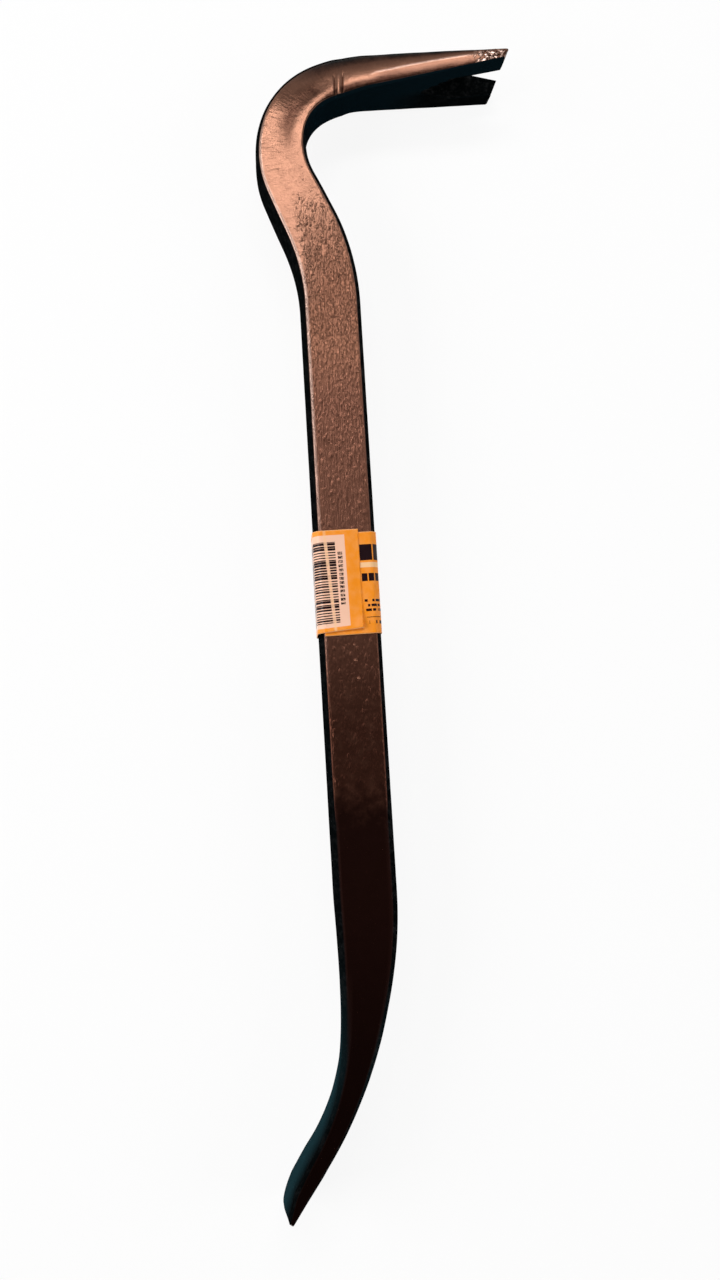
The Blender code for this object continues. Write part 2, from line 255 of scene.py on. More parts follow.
paintPlan = {
    "copper": (0.188, 0.081, 0.053, 1.0),
    "copperLit": (0.248, 0.110, 0.068, 1.0),  # at the foot of the neck: a painted highlight, brighter copper where the lamp's highlight falls
    "copperPaleAndHighlight": (0.235, 0.115, 0.075, 1.0),  # over the smooth bends and the claw, and as painted highlight on the nick's welt and raised blisters
    "copperDeep": (0.061, 0.022, 0.014, 1.0),  # towards the chisel end
    # painted shade in the dips, along the drawn lines and in dents, and also random specks
    "pitShadeAndSpecks": (0.050, 0.020, 0.013, 1.0),
    "crownShade": (0.042, 0.018, 0.012, 1.0),  # painted shade over the crown and the claw
    "dipped": (0.036, 0.0125, 0.0095, 1.0),
    "dippedTip": (0.017, 0.0060, 0.0046, 1.0),
    # painted highlight for the ridge's glint, the beads' tops and the rounded outer edge
    "paintedHighlight": (0.52, 0.36, 0.30, 1.0),
    # near black for the narrow sides, partly painted shade, and painted shade on the claw's outer edge
    "flank": (0.0016, 0.0022, 0.0024, 1.0),
    "flankScuffed": (0.0190, 0.0195, 0.0200, 1.0),
    "flankHollow": (0.0026, 0.0080, 0.0112, 1.0),  # inside the claw, a teal that is partly painted cool light
    "flankPale": (0.0090, 0.0270, 0.0330, 1.0),  # inside the chisel's curve, a teal that is partly painted cool light
    "hammeredRoughness": 0.40,
    "smoothRoughness": 0.33,
    "dippedRoughness": 0.28,
    "flankRoughness": 0.50,
    "metal": 0.93,
    "dipLine": 0.156,  # metres from the cutting edge, as is the next
    "pebblesEnd": 0.396,
    "raggedness": 0.026,  # metres along the bar, as is the next
    "outerBand": 0.023,
    "rimPull": 0.30,  # by crest, as is the next
    "rimWidth": 0.35,
    "rimFade": 0.5,
    "pebbleStretch": 0.55,
    "lineStretch": 0.07,
    "streakSquash": 0.0030,
    "pebbleSway": 0.0007,
    "pebbles": (830.0, 0.54),  # scale and edge
    "knobs": (430.0, 0.36),
    "domeTop": 0.08,
    "domeSoftness": 0.35,
    "noises": {  # scale, detail and roughness
        "blots": (240.0, 4.0, 0.6),
        "unrest": (900.0, 1.0, 0.5),
        "thin": (640.0, 1.0, 0.5),
        "drawnLines": (1900.0, 2.0, 0.5),
        "streaks": (900.0, 3.0, 0.6),
        "clouds": (300.0, 3.0, 0.5),
        "fineClouds": (1100.0, 2.0, 0.5),
        "beads": (700.0, 1.0, 0.5),
        "wrinkles": (850.0, 2.0, 0.5),
        "swell": (170.0, 2.0, 0.5),
        "grain": (2600.0, 2.0, 0.5),
    },
    "shares": {  # how far a layer covers what is under it
        "neckLit": 0.95, "dipShade": 0.40, "shadeThin": 0.25, "shadeThick": 0.72, "inner": 0.5,
        "underLip": 0.35, "streaks": 0.6, "clouds": 0.6, "fineClouds": 0.4, "tipShade": 0.95,
        "beadTopsLit": 0.9, "blots": 0.12, "speckle": 0.24, "edgeHighlight": 0.85, "prongClean": 0.7,
    },
    "heights": {  # mm
        "wrinkles": 0.17, "clouds": 0.16, "ridgeFall": 0.020, "ridgeCurve": 0.010,
        "swell": 0.10, "beads": 0.60, "grain": 0.012,
    },
    "nearSide": 0.02586,  # metres, how high the near side lies
    "blisters": (  # x, y, radius and height in mm on the near side
        (-18.7, -15.9, 0.60, 0.30), (-18.5, -21.9, 0.80, 0.45), (-17.8, -28.9, 0.80, 0.45),
        (-10.4, 92.7, 0.70, 0.40),
        (-16.1, 132.0, 0.70, -0.30), (-21.7, 76.1, 0.60, -0.25), (-30.2, -39.7, 0.90, 0.20),
    ),
    "ramps": {  # where a share starts and ends, and its values there if they aren't 0 and 1
        # metres from the dip line or the pebbles' end
        "dipped": (0.008, -0.006), "pebblesStart": (-0.004, 0.010),
        "pebblesStop": (0.006, -0.008), "smoothStarts": (-0.034, -0.002),
        # metres from the cutting edge
        "shankWarms": (0.176, 0.262), "neckLit": (0.314, 0.337),
        "dipsGrow": (0.325, 0.355, 0.5, 1.0), "dipsFade": (0.370, 0.392, 1.0, 0.15),
        "linesDarken": (0.24, 0.27), "crownBends": (0.436, 0.456), "shadeGrows": (0.438, 0.458),
        "facetOpens": (0.474, 0.486),  # the lower facet of the claw
        "lipStarts": (0.479, 0.482), "lipEnds": (0.496, 0.485),
        "rimNarrows": (0.455, 0.463, -0.38, -0.20),
        "troughGrows": (0.413, 0.433), "troughEnds": (0.470, 0.452),
        "troughWidens": (0.421, 0.437, 0.46, 0.70), "troughOpens": (0.437, 0.445, 0.0, 0.6),
        "troughFrom": (0.430, 0.446, 0.15, 0.09),
        "beadsStart": (0.519, 0.523), "tipShadeGrows": (0.5195, 0.5245),
        "outerEdgeStarts": (0.448, 0.466), "outerEdgeEnds": (0.522, 0.514),
        "glintStarts": (0.477, 0.482), "glintEnds": (0.523, 0.515),
        "bladeDarkens": (0.115, 0.045),
        "edgeHighlightStarts": (0.20, 0.34), "edgeHighlightEnds": (0.436, 0.420),
        "hollowStarts": (0.424, 0.446), "prongStarts": (0.486, 0.503),
        "pebblesRise": (0.290, 0.355, 0.06, 0.46), "thinRises": (0.315, 0.352, 0.0, 0.26),
        "knobsRise": (0.290, 0.330, 0.12, 0.22), "knobsFade": (0.350, 0.372, 1.0, 0.3),
        "skinFades": (0.365, 0.390, 1.0, 0.45), "linesRise": (0.22, 0.27, 0.08, 0.30),
        "wrinklesStart": (0.40, 0.425), "wrinklesEnd": (0.475, 0.455),
        # across a side, from its hollow edge at 0 to the outer one at 1
        "outerBand": (0.62, 0.95),
        "troughInner": (0.0, 0.19), "troughOuter": (-0.23, 0.18, 1.0, 0.0),
        "troughFades": (0.45, 0.72, 0.92, 0.60),
        "hollow": (0.30, 0.05),
        "scuffsFade": (0.20, 0.80, 0.80, 0.35),
        "wrinklesGrow": (0.40, 0.65, 0.3, 1.0),
        # by crest, which is 0 on the ridge
        "shadeThin": (-0.05, 0.15), "shadeThick": (0.10, 0.75),
        "inner": (-0.05, -0.50), "underLip": (-0.06, -0.20),
        "outerEdgeShade": (0.62, 0.95),
        "beadTops": (0.9, 0.3),
        "glint": (0.25, 0.75, 0.38, 0.0),  # mm from the ridge
        # metres along Y and Z
        "bladePale": (-0.124, -0.192),
        "bladeNear": (0.0295, 0.0145), "prongLow": (0.0195, 0.0150),
        # by the strength of a noise, the pebbles or the welt, or by a blister's height in mm
        "thin": (0.35, 0.68), "thinDips": (0.90, 0.3),
        "pebbleShade": (0.40, 0.0), "lineShade": (0.52, 0.36),
        "cloudBreaks": (0.35, 0.62, 0.82, 1.06), "specks": (0.50, 0.34), "scuffs": (0.47, 0.72),
        "beads": (0.46, 0.62), "blotsPale": (0.50, 0.75), "blotsRough": (0.25, 0.75, -0.02, 0.02),
        "weltHighlight": (0.25, 0.75), "blisterHighlight": (0.10, 0.45), "dentShade": (-0.05, -0.30),
    },
}


def makePaint():
    material, tree, shader = startMaterial("hammeredPaint")
    plan, cover, rise = paintPlan, paintPlan["shares"], paintPlan["heights"]
    place = get(tree, "ShaderNodeTexCoord", output="Object")
    front, over, ridge, crest, wide, rim, welt = (
        get(tree, "ShaderNodeAttribute", output="Fac", attribute_name=name)
        for name in ("front", "over", "ridge", "crest", "wide", "rim", "welt"))
    placeY, placeZ = split(place)[1:]

    def noise(name, spot=place, output=0):
        return noiseAt(spot, *plan["noises"][name], output)

    def ramp(name, value=front):
        return value.span(*plan["ramps"][name])

    def eased(name, value=front):
        return value.ease(*plan["ramps"][name])

    def rampFrom(line, name, value):
        low, high = plan["ramps"][name]
        return value.span(plan[line] + low, plan[line] + high)

    def coat(under, name, share):
        return blendColour(share, under, plan[name])

    # where each finish lies: a ragged dip line, pebbles on the shank, smooth bends
    blots = noise("blots")
    ragged = front + (blots - 0.5) * plan["raggedness"]
    dipped = rampFrom("dipLine", "dipped", ragged)
    # the smooth band runs further down the outer edge of the neck
    bandEnd = ragged + ramp("outerBand", over) * plan["outerBand"]
    pebbled = rampFrom("dipLine", "pebblesStart", ragged) * rampFrom("pebblesEnd", "pebblesStop", bandEnd)
    smooth = rampFrom("pebblesEnd", "smoothStarts", bandEnd)

    # pebbles and knobs, a little longer than wide, and fine lines drawn along the bar
    def stretch(amount):
        return get(tree, "ShaderNodeMapping", {"Vector": place, "Scale": (1.0, amount, 1.0)})

    stretched = stretch(plan["pebbleStretch"])
    unrest = noise("unrest", stretched, "Color")
    swayed = vectorCalc("ADD", stretched, vectorCalc("SCALE", unrest, plan["pebbleSway"]))

    def domes(scale, edge):
        feeds = {"Vector": swayed, "Scale": scale, "Smoothness": plan["domeSoftness"]}
        distance = get(tree, "ShaderNodeTexVoronoi", feeds, "Distance", feature="SMOOTH_F1")
        return distance.ease(edge, plan["domeTop"])

    pebbles = domes(*plan["pebbles"])
    knobs = domes(*plan["knobs"])
    thin = ramp("thin", noise("thin", stretched))
    draw = noise("drawnLines", stretch(plan["lineStretch"]))

    # colour of the broad sides, with painted shade in the dips between pebbles and along the drawn lines
    copper = coat(plan["copperDeep"], "copper", eased("shankWarms"))
    # a painted highlight, brighter copper at the foot of the neck
    copper = coat(copper, "copperLit", ramp("neckLit") * cover["neckLit"])
    copper = coat(copper, "copperPaleAndHighlight", smooth)
    dipShade = ramp("pebbleShade", pebbles) * ramp("thinDips", thin)
    dipShade = dipShade * (ramp("dipsGrow") * ramp("dipsFade"))
    dipShade = dipShade.op("MAXIMUM", ramp("lineShade", draw) * ramp("linesDarken"))
    copper = coat(copper, "pitShadeAndSpecks", dipShade * pebbled * cover["dipShade"])

    # painted shade on the crown and the claw, outside the ridge and at their inner edge, where they turn
    # from the light
    paintedShade = ramp("shadeThin", crest) * cover["shadeThin"] + ramp("shadeThick", crest) * cover["shadeThick"]
    facet = ramp("facetOpens")
    inner = ramp("inner", crest) * facet * cover["inner"]
    underLip = ramp("lipStarts") * ramp("lipEnds")
    inner = inner + underLip * ramp("underLip", crest) * cover["underLip"]
    rimStart = ramp("rimNarrows") - facet * plan["rimPull"]
    rimShade = crest.span(rimStart, rimStart - plan["rimWidth"])
    inner = inner + rimShade * (1.0 - facet * plan["rimFade"])
    paintedShade = (paintedShade + inner) * ramp("shadeGrows")
    # painted shade in a trough along the crown, which opens towards its outer edge
    radial = join(tree, front, over * plan["streakSquash"])
    streaks = noise("streaks", radial) - 0.5
    openTo = ramp("troughWidens") + ramp("troughOpens") + streaks * cover["streaks"]
    troughShade = eased("troughInner", over - ramp("troughFrom")) * eased("troughOuter", over - openTo)
    troughShade = troughShade * (ramp("troughFades", over) * ramp("troughEnds"))
    paintedShade = paintedShade.op("MAXIMUM", troughShade * eased("troughGrows"))
    cloudy = noise("clouds") * cover["clouds"] + noise("fineClouds") * cover["fineClouds"]
    paintedShade = (paintedShade * ramp("cloudBreaks", cloudy)).op("MINIMUM", 1.0)
    # painted shade over the tip, left off the tops of its beads, which get a painted highlight
    beads = ramp("beads", noise("beads")) * ramp("beadsStart")
    paintedShade = paintedShade.op("MAXIMUM", ramp("tipShadeGrows") * cover["tipShade"])
    paintedShade = paintedShade - paintedShade * beads * cover["beadTopsLit"]
    copper = coat(copper, "crownShade", paintedShade)

    # painted shade on the claw's outer edge, blots, a painted highlight on the nick's welt, a painted glint
    # on the ridge and on the beads' tops, specks, the dipped end
    outside = ridge * 1000.0  # mm
    outerEdgeShade = ramp("outerEdgeShade", crest) * ramp("outerEdgeStarts")
    glint = eased("glint", outside.op("ABSOLUTE")) * ramp("glintStarts")
    copper = coat(copper, "flank", outerEdgeShade * ramp("outerEdgeEnds"))
    copper = coat(copper, "copperPaleAndHighlight", ramp("blotsPale", blots) * cover["blots"])
    copper = coat(copper, "copperPaleAndHighlight", ramp("weltHighlight", welt))
    copper = coat(copper, "paintedHighlight", glint * ramp("glintEnds"))
    copper = coat(copper, "paintedHighlight", beads * ramp("beadTops", crest))
    copper = coat(copper, "pitShadeAndSpecks", ramp("specks", cloudy) * smooth * cover["speckle"])
    darkened = coat(plan["dipped"], "dippedTip", ramp("bladeDarkens"))
    copper = blendColour(dipped, copper, darkened)
    # a painted highlight along the rounded outer edge of the broad sides
    edgeHighlight = rim * (ramp("edgeHighlightStarts") * ramp("edgeHighlightEnds"))
    copper = coat(copper, "paintedHighlight", edgeHighlight * cover["edgeHighlight"])
    raised = 0.0  # mm
    for x, y, radius, height in plan["blisters"]:
        gap = vectorCalc("DISTANCE", place, (x / 1000.0, y / 1000.0, plan["nearSide"]))
        raised = raised + gap.ease(0.0, radius / 1000.0, height, 0.0)
    # a painted highlight on raised blisters and painted shade in sunken ones
    copper = coat(copper, "copperPaleAndHighlight", ramp("blisterHighlight", raised))
    copper = coat(copper, "pitShadeAndSpecks", ramp("dentShade", raised))

    # the narrow sides: black and scuffed, and paler teal inside the claw and the chisel's curve, partly
    # painted cool light; the far prong is kept black as painted shade
    farProng = ramp("prongStarts") * ramp("prongLow", placeZ)
    scuffs = ramp("scuffs", cloudy) * ramp("scuffsFade", over)
    flank = coat(plan["flank"], "flankScuffed", scuffs * (1.0 - farProng * cover["prongClean"]))
    clawShare = ramp("hollowStarts") * ramp("hollow", over) * (1.0 - farProng)
    flank = coat(flank, "flankHollow", clawShare)
    flank = coat(flank, "flankPale", eased("bladePale", placeY) * ramp("bladeNear", placeZ))

    # the split by face, copper broad sides against near-black narrow sides, partly paints the light on the
    # one and the shade on the other
    feed(shader.inputs["Base Color"], blendColour(wide, flank, copper))
    feed(shader.inputs["Metallic"], wide * plan["metal"])
    rough = blendValue(smooth, plan["hammeredRoughness"], plan["smoothRoughness"])
    rough = blendValue(dipped, rough, plan["dippedRoughness"])
    rough = rough + ramp("blotsRough", blots)
    feed(shader.inputs["Roughness"], blendValue(wide, plan["flankRoughness"], rough))
    shader.inputs["Specular IOR Level"].default_value = 0.0

    # skin, in mm, with wrinkles over the crown, beads at the claw's tip, and blisters
    skin = pebbles * ramp("pebblesRise") + thin * ramp("thinRises")
    skin = skin + knobs * (ramp("knobsRise") * ramp("knobsFade"))
    skin = skin * ramp("skinFades")
    skin = (skin + draw * ramp("linesRise")) * pebbled
    wrinkles = noise("wrinkles", radial) * (ramp("wrinklesStart") * ramp("wrinklesEnd"))
    wrinkles = wrinkles * ramp("wrinklesGrow", over)
    skin = skin + (wrinkles * rise["wrinkles"] + cloudy * smooth * rise["clouds"])
    # the crown and the claw fall away on both sides of the ridge
    fall = outside.op("MAXIMUM", 0.0) * rise["ridgeFall"] + outside * outside * rise["ridgeCurve"]
    skin = skin - fall * eased("crownBends")
    skin = skin + noise("swell") * rise["swell"] + beads * rise["beads"]
    skin = (skin + raised) * wide
    addBump(shader, skin + noise("grain") * rise["grain"])
    return material


# the forging, from the cutting edge to the tip of the claw

barPlan = {
    "start": (-0.056219, -0.224766),  # metres, the middle of the cutting edge
    "heading": 34.9,  # degrees from +Y towards +X
    "runs": (  # radius and turn of a bend, or length and 0 of a straight
        (0.0255, 0.0), (0.1055, -23.6), (0.2500, -11.3), (0.2365, 0.0), (0.0890, -22.7),
        (0.0175, 0.0), (0.0360, 40.5), (0.0281, 48.8), (0.0534, 21.3), (0.0561, 0.0),
    ),
    "step": 0.0012,  # between stations along the line
    "endStep": 0.0004,
    "nickStep": 0.00025,
    "lastStep": 0.0002,  # no station comes closer than this to the tip
    "closeTo": (0.0045, 0.0110),  # how far the close stations reach from the edge and from the tip
    "closeNick": (-0.0052, 0.0036),  # and on both sides of the nick
    "Middle Height": 0.017457,  # metres, as are the other lengths; capitals are the tree's inputs
    "Stock Thickness": 0.0238,
    "Stock Depth": 0.0168,
    "Chamfer": 0.0019,
    "Edge Rounding": 0.28,
    "Points Around": 112,
    "Edge Thickness": 0.0013,
    "Grind Length": 0.0095,
    "Grind Heel": 0.0050,
    "Blade Length": 0.0200,
    "Blade Thickness": 0.0065,
    "Blade Swell": 0.1045,
    "Blade Width": 0.0345,
    "Blade Flare": 0.0580,
    "Near Corner": 0.0010,
    "Far Corner": 0.0078,
    "Blade Skew": 0.0600,
    "Edge Turn": 0.0013,
    "Tip Thickness": 0.0037,
    "Claw Heel": 0.0170,
    "Claw Wedge": 0.0683,
    "Claw Swell": 0.0823,
    "Claw Width": 0.0352,
    "Claw Flare": 0.0645,
    "Claw Corner": 0.0010,
    "Claw Skew": 0.0330,
    "Tip Slant": 0.0020,
    "Tip Reach": 0.0008,
    "Top Draw": 0.0004,
    "Claw Fullness": 0.0005,
    "Ridge Crown": 0.17,
    "Ridge Heel": 0.31,
    "Ridge Lip": 0.09,
    "Ridge Tip": 0.76,
    "Ridge Fullness": 0.75,
    "Forging Lumps": 0.00020,
    "Shank Lumps": 0.00004,
    "Lump Scale": 75.0,
    "Outer Sink": 0.0008,
    "Inner Swell": 0.0004,
    "Nick Depth": 0.00055,
    "Nick Half Width": 0.00055,
    "Nick Back": 0.0681,
    "Nick Spacing": 0.0036,
    "Nick Slant": 0.0051,
    "Second Nick": 0.9,
    "Welt Half Width": 0.0012,
    "Welt Height": 0.7,
    "Tip Beads": 0.00025,
    "Bead Scale": 620.0,
    "sharpAngle": 38.0,  # degrees
    "nickPivot": 0.1,  # across a side, as is the next: where the nicks' slant turns
    "sinkFrom": 0.2,  # the crown sinks no nearer its hollow edge than this
    "lumps": (1.5, 0.45),  # detail and roughness of their noise
    "beadLevel": 0.45,
    "nearBeads": 4.0,  # times Tip Beads on the near side, and none off it
    "ramps": {  # where a form starts and ends, and its values there if they aren't 0 and 1
        # metres back from the tip of the claw
        "ridgeJoinsCrown": (0.066, 0.084),
        "lip": (0.0562, 0.0522),
        "ridgeRuns": (0.0515, 0.0),
        "sinkStarts": (0.145, 0.105),
        "sinkGrows": (0.005, 0.070, 0.1, 1.0),
        "swellStarts": (0.140, 0.118),
        "swellEnds": (0.060, 0.085),
        "slantEnds": (0.0, 0.012, 1.0, 0.0),
        "clawForged": (0.150, 0.115),
        "beads": (0.0105, 0.0070),
        # metres from the cutting edge
        "bladeForged": (0.110, 0.060),
        "inked": (0.150, 0.170),
        "bordered": (0.060, 0.095),
        # across a side, from its hollow edge at 0 to the outer one at 1
        "swellInner": (0.38, 0.0),
        "clawFuller": (0.4, 1.0),
        "nickNear": (0.62, 0.45),
        "borderOuter": (0.82, 0.93, 1.0, 0.0),
        "borderInner": (0.03, 0.08),
        # metres up from the middle, then on the outline's square, whose half size is 2
        "edgeTurns": (-0.002, 0.0172),
        "cornerTurns": (-0.2, 0.2),
        "broad": (1.97, 2.0), "broadInked": (1.80, 1.92),
        "rimAround": (1.86, 1.93),
        "rimAcross": (-0.90, -0.99),
        "facesUp": (0.5, 0.9),
    },
    "notch": {
        "depth": 0.0199,
        "width": 0.0105,
        "rootRadius": 0.0010,
        "rootSteps": 6,
        "lip": 0.0009,
        "bevelRunout": 0.0130,
        "margin": 0.0050,
        "cutterHalf": 0.02,
    },
}


def runLength(size, turn):
    return size * math.radians(abs(turn)) if turn else size


def pathPoint(distance):
    # point and heading on the middle line, at a distance from the cutting edge
    x, y = barPlan["start"]
    heading = math.radians(barPlan["heading"])
    for size, turn in barPlan["runs"]:
        length = runLength(size, turn)
        step = min(distance, length)
        swing = math.radians(turn) * step / length
        chord = 2.0 * size * math.sin(abs(swing) / 2.0) if turn else step
        x += chord * math.sin(heading + swing / 2.0)
        y += chord * math.cos(heading + swing / 2.0)
        heading += swing
        distance -= step
        if distance <= 0.0:
            break
    return x, y, heading


def pathStations():
    # close together at both ends and over the nick, and even between
    total = sum(runLength(size, turn) for size, turn in barPlan["runs"])
    nick = total - barPlan["Nick Back"]
    fromEdge, fromTip = barPlan["closeTo"]
    before, after = barPlan["closeNick"]
    marks = [total]
    place = 0.0
    while place < total - barPlan["lastStep"]:
        marks.append(place)
        close = place < fromEdge or total - place < fromTip
        scratched = before < place - nick < after
        place += barPlan["nickStep" if scratched else "endStep" if close else "step"]
    return sorted(marks), total


def sweepBar(tree, size):
    # the middle line carries its place and direction on to the swept mesh
    front = get(tree, "GeometryNodeSplineParameter", output="Length")
    whole = get(tree, "GeometryNodeSplineLength", output="Length")
    line = capture(get(tree, "GeometryNodeMeshToCurve", {"Mesh": size["Geometry"]}), {
        "front": front,
        "back": whole - front,
        "along": get(tree, "GeometryNodeInputTangent"),
        "middle": get(tree, "GeometryNodeInputPosition"),
    })
    # the outline on a square of half size 2: flats within 1, chamfers from 1 to 2
    outline = get(tree, "GeometryNodeCurvePrimitiveQuadrilateral", {"Width": 4.0, "Height": 4.0})
    outline = fillet(fillet(outline, 1, 1.0), 3, size["Edge Rounding"])
    feeds = {"Curve": outline, "Count": size["Points Around"]}
    outline = get(tree, "GeometryNodeResampleCurve", feeds)
    outline = capture(outline, {"seat": get(tree, "GeometryNodeInputPosition")})
    swept = get(tree, "GeometryNodeCurveToMesh", {
        "Curve": line["Geometry"], "Profile Curve": outline["Geometry"], "Fill Caps": True})
    return swept, line, split(outline["seat"])[:2]


def barThickness(size, front, back):
    # in the plane of the bends
    stock, bladeEnd, wedgeEnd = size["Stock Thickness"], size["Blade Length"], size["Claw Wedge"]
    grind = front.span(0.0, size["Grind Length"], size["Edge Thickness"], size["Grind Heel"])
    blade = front.span(size["Grind Length"], bladeEnd, 0.0, size["Blade Thickness"] - size["Grind Heel"])
    swell = front.ease(bladeEnd, bladeEnd + size["Blade Swell"], 0.0, stock - size["Blade Thickness"])
    wedge = back.span(0.0, wedgeEnd, size["Tip Thickness"], size["Claw Heel"])
    heel = back.ease(wedgeEnd, wedgeEnd + size["Claw Swell"], 0.0, stock - size["Claw Heel"])
    return (grind + blade + swell).op("MINIMUM", wedge + heel)


def ridgeShare(size, back):
    # where the ridge runs on the claw's sides: 0 at their hollow edge, 1 at the outer one
    ramps = barPlan["ramps"]
    share = back.ease(*ramps["ridgeJoinsCrown"], size["Ridge Heel"], size["Ridge Crown"])
    share = share + back.ease(*ramps["lip"], 0.0, size["Ridge Lip"])
    beyondLip = size["Ridge Tip"] - (size["Ridge Heel"] + size["Ridge Lip"])
    return share + back.span(*ramps["ridgeRuns"], 0.0, beyondLip)


def nickShape(size, back, over):
    # two slanting cuts and the metal raised between them
    def groove(distance, halfWidth, height):
        return distance.op("ABSOLUTE").ease(0.0, halfWidth, height, 0.0)

    first = back + (over - barPlan["nickPivot"]) * size["Nick Slant"] - size["Nick Back"]
    second = first - size["Nick Spacing"]
    width = size["Nick Half Width"]
    cuts = groove(first, width, 1.0) + groove(second, width, size["Second Nick"])
    welt = groove(first - size["Nick Spacing"] * 0.5, size["Welt Half Width"], 1.0)
    return cuts - welt * size["Welt Height"], welt


def buildForgeTree(material):
    ramps = barPlan["ramps"]
    tree, size = startTree("forgedBar", barPlan)
    swept, line, (seatX, seatY) = sweepBar(tree, size)
    front, back, along, middle = (line[name] for name in ("front", "back", "along", "middle"))
    flatA, flatB = (seat.span(-1.0, 1.0, -1.0, 1.0) for seat in (seatX, seatY))
    cornerA, cornerB = seatX - flatA, seatY - flatB
    over = (1.0 - flatA) * 0.5  # 0 on the hollow side, 1 on the outer one
    thickness = barThickness(size, front, back)
    chamfer = size["Chamfer"] * (thickness / size["Stock Thickness"])

    # depth, along Z, with the flares at both ends and the ridge on the claw's sides
    bladeShare = front.span(0.0, size["Blade Flare"], 1.0, 0.0)
    clawShare = back.span(0.0, size["Claw Flare"], 1.0, 0.0)
    clawBow = (clawShare * math.pi).op("SINE")
    stock = size["Stock Depth"] * 0.5

    def cornerInset(distance, radius):
        left = (radius - distance).op("MAXIMUM", 0.0)
        return radius - (radius * radius - left * left).op("SQRT")

    def flare(width, share):
        return (width * 0.5 - stock) * share

    depth = stock + (flare(size["Blade Width"], bladeShare) + flare(size["Claw Width"], clawShare))
    corner = blendValue(seatY.span(*ramps["cornerTurns"]), size["Far Corner"], size["Near Corner"])
    depth = depth - cornerInset(front, corner) - cornerInset(back, size["Claw Corner"])
    ridgeAt = ridgeShare(size, back)
    draw = size["Top Draw"] * clawBow
    ridgeDraw = draw * ridgeAt * (1.0 - size["Ridge Fullness"])
    depth = depth - ridgeDraw * over.span(0.0, ridgeAt)
    depth = depth - (draw - ridgeDraw) * over.span(ridgeAt, 1.0)
    # the crown swells at its inner rim, and is hammered down a little towards its outer edge
    sunk = back.ease(*ramps["sinkStarts"]) * back.span(*ramps["sinkGrows"])
    slope = over.span(ridgeAt.op("MAXIMUM", barPlan["sinkFrom"]), 1.0)
    slope = (slope + slope * slope) * 0.5
    depth = depth - sunk * slope * size["Outer Sink"]
    swollen = back.ease(*ramps["swellStarts"]) * back.ease(*ramps["swellEnds"])
    depth = depth + swollen * over.ease(*ramps["swellInner"]) * size["Inner Swell"]

    # place of each point: across the bar, up, and led along it by the skew of the ends
    acrossBy = flatA * (thickness * 0.5 - chamfer) + cornerA * chamfer
    acrossBy = acrossBy - clawBow * over.span(*ramps["clawFuller"]) * size["Claw Fullness"]
    upBy = flatB * (depth - chamfer) + cornerB * chamfer
    # the cutting edge is turned a little towards its near corner
    turned = front.span(0.0, size["Grind Length"], 1.0, 0.0) * upBy.ease(*ramps["edgeTurns"])
    acrossBy = acrossBy + turned * size["Edge Turn"]
    led = (bladeShare * size["Blade Skew"] + clawShare * size["Claw Skew"]) * upBy
    # the claw's end is cut aslant, shorter on its hollow side
    slant = size["Tip Reach"] - (1.0 - over) * size["Tip Slant"]
    led = led + slant * back.span(*ramps["slantEnds"])
    aheadX, aheadY = split(along)[:2]
    across = join(tree, aheadY, aheadX * -1.0)
    lead = vectorCalc("SCALE", along, led)
    rise = join(tree, z=upBy + size["Middle Height"])
    spot = vectorCalc("ADD", middle, vectorCalc("SCALE", across, acrossBy))
    spot = vectorCalc("ADD", spot, vectorCalc("ADD", lead, rise))

    # uneven forging: lumps, stronger at both ends, a double nick over the near side, beads at the tip
    forged = back.ease(*ramps["clawForged"]).op("MAXIMUM", front.ease(*ramps["bladeForged"]))
    height = (noiseAt(spot, size["Lump Scale"], *barPlan["lumps"]) - 0.5) * 2.0
    height = height * blendValue(forged, size["Shank Lumps"], size["Forging Lumps"])
    nick, welt = nickShape(size, back, over)
    nearNick = over.span(*ramps["nickNear"]) * cornerB.span(*ramps["facesUp"])
    height = height - nick * nearNick * size["Nick Depth"]
    beads = noiseAt(spot, size["Bead Scale"], 1.0) - barPlan["beadLevel"]
    beads = beads * back.span(*ramps["beads"])
    facing = cornerB.span(*ramps["facesUp"], 0.0, barPlan["nearBeads"])
    height = height + beads * (size["Tip Beads"] * facing)
    outward = vectorCalc("ADD", vectorCalc("SCALE", across, cornerA), join(tree, z=cornerB))
    shaped = moved(swept, vectorCalc("ADD", spot, vectorCalc("SCALE", outward, height)))

    # what the paint reads
    fromRidge = over - ridgeAt
    beyond = (fromRidge / (1.0 - ridgeAt)).op("MAXIMUM", 0.0)
    # on the dipped end the black, partly painted shade, takes in the whole chamfer
    inked = front.span(*ramps["inked"])
    side = seatY.op("ABSOLUTE")
    low, high = (blendValue(inked, *ends) for ends in zip(ramps["broad"], ramps["broadInked"]))
    wide = side.span(low, high)
    # near the cutting edge a border along both edges of the broad sides is black too, as painted shade
    border = over.span(*ramps["borderOuter"]) * over.span(*ramps["borderInner"])
    border = blendValue(front.span(*ramps["bordered"]), border, 1.0)
    marks = {
        "front": front,
        "over": over,
        "ridge": fromRidge * thickness,
        "crest": beyond + (fromRidge / ridgeAt).op("MINIMUM", 0.0),  # -1 inner edge, 0 ridge, 1 outer
        "welt": welt * nearNick,
        "wide": wide * border,
        "rim": side.span(*ramps["rimAround"]) * seatX.span(*ramps["rimAcross"]),
    }
    for name, value in marks.items():
        shaped = store(shaped, name, value)
    endTree(shaped, material)
    return tree


def clawHalf(back):
    tip, heel = barPlan["Tip Thickness"], barPlan["Claw Heel"]
    return (tip + (heel - tip) * max(back, 0.0) / barPlan["Claw Wedge"]) / 2.0


